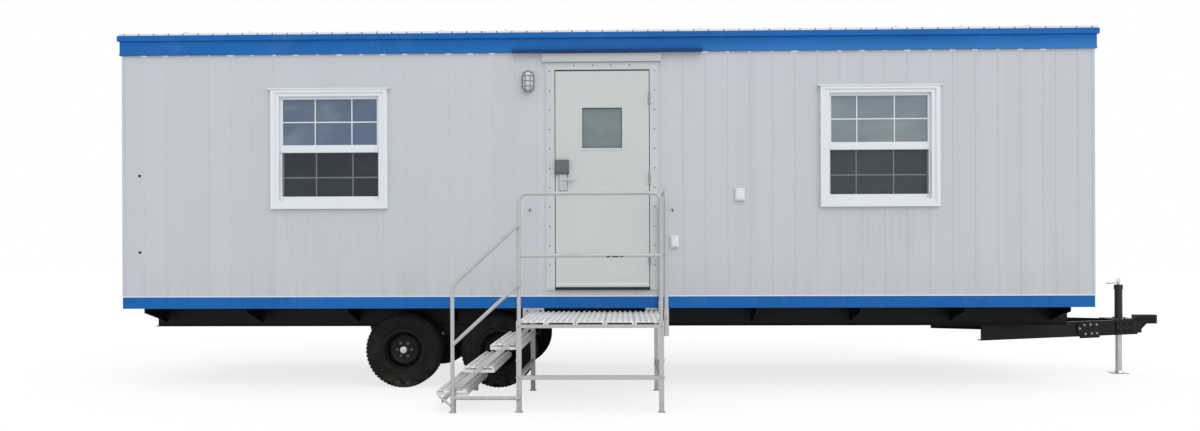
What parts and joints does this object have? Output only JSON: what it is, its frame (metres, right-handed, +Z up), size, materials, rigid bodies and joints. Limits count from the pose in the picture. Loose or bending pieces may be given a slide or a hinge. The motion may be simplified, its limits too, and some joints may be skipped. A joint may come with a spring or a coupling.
{
  "type": "portable site cabin",
  "caption": "Long box cabin on a wheeled road chassis, with a hinged door, sash windows, a drawbar with a jack, and a guarded landing with steps.",
  "frame": {"origin": "on the ground under the middle of the whole, drawbar and steps included", "axes": "+X along the cabin to the hitch, +Y from the door side to the back, +Z up"},
  "size_m": [10.401, 3.8282, 3.445],
  "materials": {
    "chassis": "black chassis paint, dusty",
    "jack_paint": "dark grey paint",
    "zinc": "zinc plated",
    "floor": "boards under a plain sheet",
    "siding": "grey painted grooved panels",
    "ceiling": "white faced board",
    "roof": "white sheet over boards",
    "blue_paint": "satin blue paint",
    "gutter_paint": "dark blue paint",
    "trim_paint": "satin grey paint",
    "sill_rubber": "matt black",
    "hinge_steel": "brushed",
    "window_vinyl": "white moulded frames",
    "window_glass": "dark panes",
    "fitting_grey": "grey",
    "lens": "ribbed lens",
    "fitting_white": "white",
    "aluminium": "mill finish",
    "door_paint": "satin grey paint",
    "door_glass": "dark pane",
    "lock_paint": "dark grey",
    "lever_steel": "satin",
    "tyre": "worn",
    "wheel_paint": "black"
  },
  "bodies": {
    "cabin": {"main_beams": "chassis", "crossmembers": "chassis", "drawbar_rails": "chassis", "coupler": "chassis", "axles": "chassis", "leaf_springs": "chassis", "spring_hangers": "chassis", "jack_tube": "jack_paint", "jack_crank": "zinc", "floor_deck": "floor", "front_wall_left": "siding", "front_wall_right": "siding", "front_wall_over_door": "siding", "back_wall": "siding", "rear_end_wall": "siding", "hitch_end_wall": "siding", "ceiling": "ceiling", "roof_deck": "roof", "base_band": "blue_paint", "roof_fascia": "blue_paint", "rain_gutter": "gutter_paint", "door_head_trim": "trim_paint", "door_frame": "trim_paint", "door_sill": "sill_rubber", "frame_hinges": "hinge_steel", "window_frames": "window_vinyl", "window_sashes": "window_vinyl", "window_panes": "window_glass", "light_base": "fitting_grey", "light_lens": "lens", "outlet_covers": "fitting_white", "landing_planks": "aluminium", "landing_rims": "aluminium", "landing_legs": "aluminium", "landing_ties": "aluminium", "front_guard": "aluminium", "end_guard": "aluminium", "stair_stringers": "aluminium", "stair_treads": "aluminium", "stair_handrail": "aluminium"},
    "door": {"door_leaf": "door_paint", "door_pane": "door_glass", "door_hinges": "hinge_steel", "door_locks": "lock_paint"},
    "door_lever": {"door_lever": "lever_steel"},
    "jack_leg": {"jack_leg": "zinc"},
    "wheel_rear_near": {"tyre_rear_near": "tyre", "rim_rear_near": "wheel_paint"},
    "wheel_rear_far": {"tyre_rear_far": "tyre", "rim_rear_far": "wheel_paint"},
    "wheel_front_near": {"tyre_front_near": "tyre", "rim_front_near": "wheel_paint"},
    "wheel_front_far": {"tyre_front_far": "tyre", "rim_front_far": "wheel_paint"}
  },
  "joints": [
    {"name": "door_swing", "type": "hinge", "parent": "cabin", "child": "door", "pos_m": [-0.153, -0.58435, 1.982], "axis": [0, 0, 1], "range_deg": [0, 90]},
    {"name": "lever_press", "type": "hinge", "parent": "door", "child": "door_lever", "pos_m": [-0.9655, -0.57485, 1.98], "axis": [0, 1, 0], "range_deg": [0, 45], "stiffness_Nm_per_rad": 1.5, "springref_deg": -34.38},
    {"name": "jack_lift", "type": "slide", "parent": "cabin", "child": "jack_leg", "axis": [0, 0, 1], "range_m": [0, 0.25]},
    {"name": "wheel_rear_near_spin", "type": "hinge", "parent": "cabin", "child": "wheel_rear_near", "pos_m": [-2.5165, -0.33585, 0.36], "axis": [0, 1, 0], "continuous": true},
    {"name": "wheel_rear_far_spin", "type": "hinge", "parent": "cabin", "child": "wheel_rear_far", "pos_m": [-2.5165, 1.64015, 0.36], "axis": [0, 1, 0], "continuous": true},
    {"name": "wheel_front_near_spin", "type": "hinge", "parent": "cabin", "child": "wheel_front_near", "pos_m": [-1.6005, -0.33585, 0.36], "axis": [0, 1, 0], "continuous": true},
    {"name": "wheel_front_far_spin", "type": "hinge", "parent": "cabin", "child": "wheel_front_far", "pos_m": [-1.6005, 1.64015, 0.36], "axis": [0, 1, 0], "continuous": true}
  ]
}
